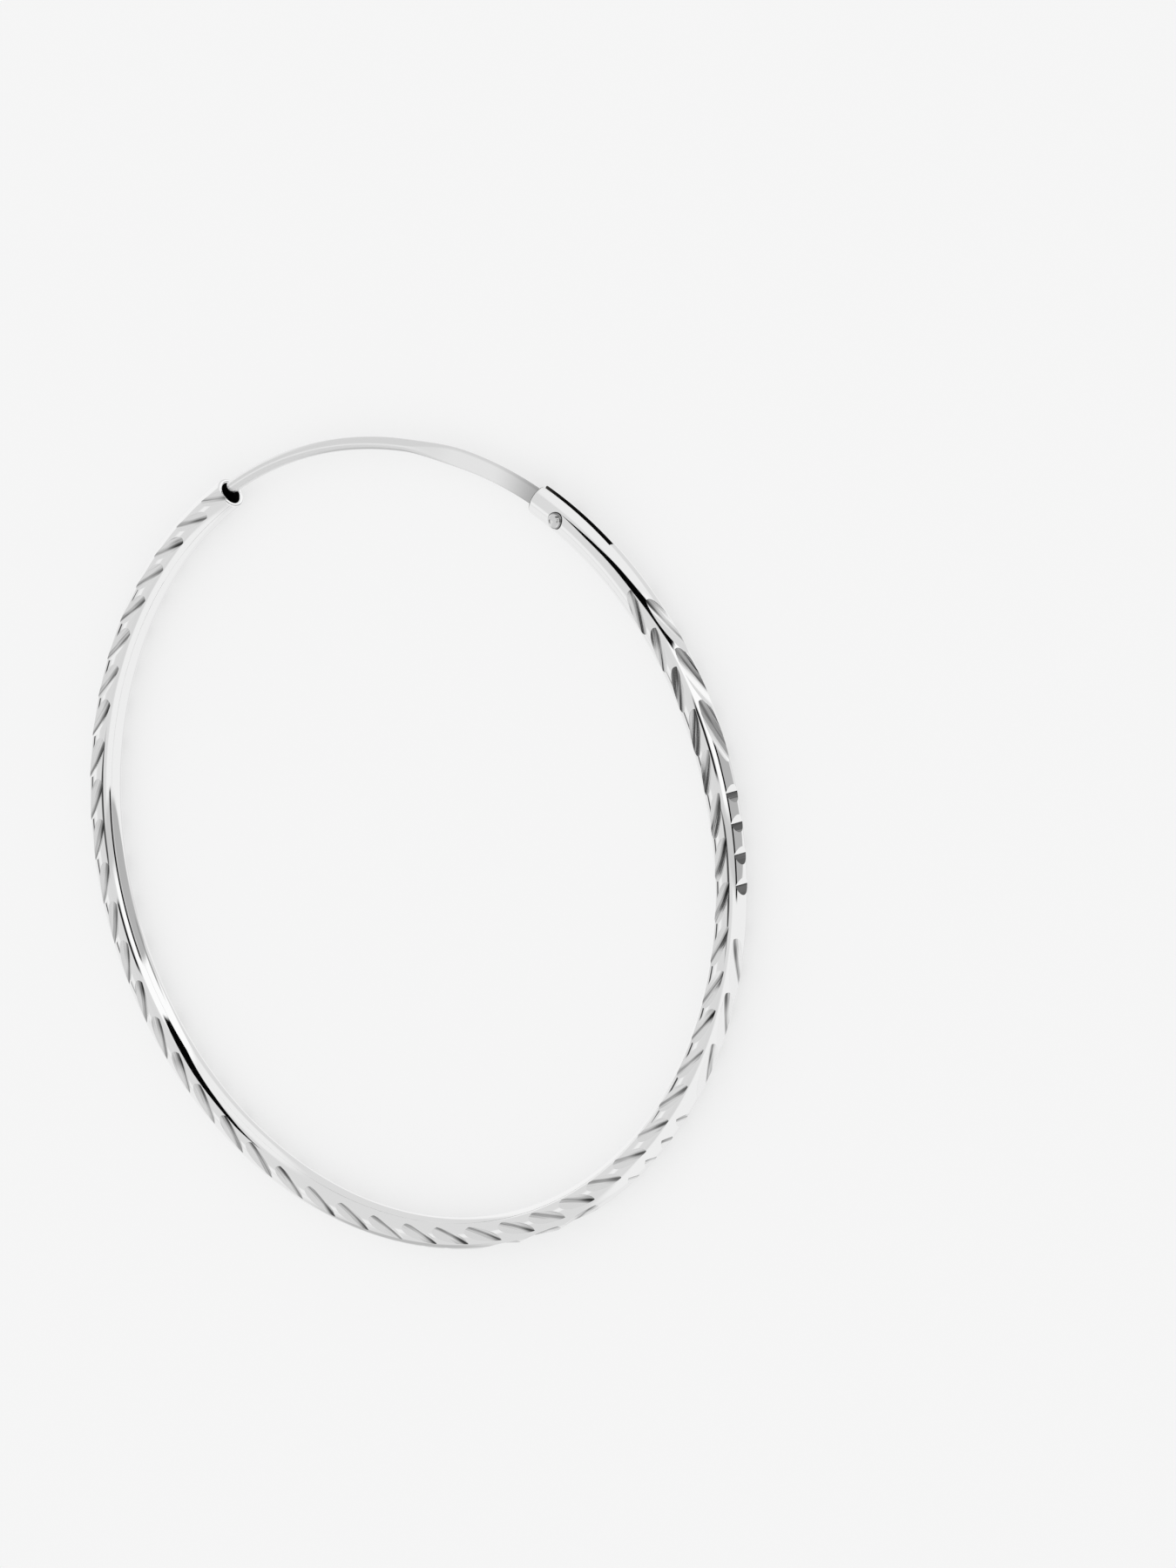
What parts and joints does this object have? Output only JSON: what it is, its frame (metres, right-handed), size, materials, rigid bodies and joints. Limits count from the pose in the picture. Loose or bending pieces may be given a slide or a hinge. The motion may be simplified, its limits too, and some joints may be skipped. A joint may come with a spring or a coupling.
{
  "type": "hoop earring",
  "caption": "Hinged hoop earring: an engraved round tube closed by a thin ear wire that swings open on a rivet.",
  "frame": {"origin": "under the middle of the earring's box, on the surface that it lies on", "axes": "+Z along the hoop's axis, up as it lies on its side; the ear wire closes the hoop towards +Y"},
  "size_m": [0.052, 0.0514, 0.0026],
  "materials": {
    "engraved_silver": "polished, with bright cut facets",
    "plain_silver": "polished"
  },
  "bodies": {
    "hoop": {"hoop_tube": "engraved_silver", "hinge_rivet": "plain_silver"},
    "wire": {"ear_wire": "plain_silver"}
  },
  "joints": [
    {"name": "ear_wire_hinge", "type": "hinge", "parent": "hoop", "child": "wire", "pos_m": [0.01252, 0.02192, 0.0013], "axis": [0, 0, -1], "range_deg": [0, 150]}
  ]
}
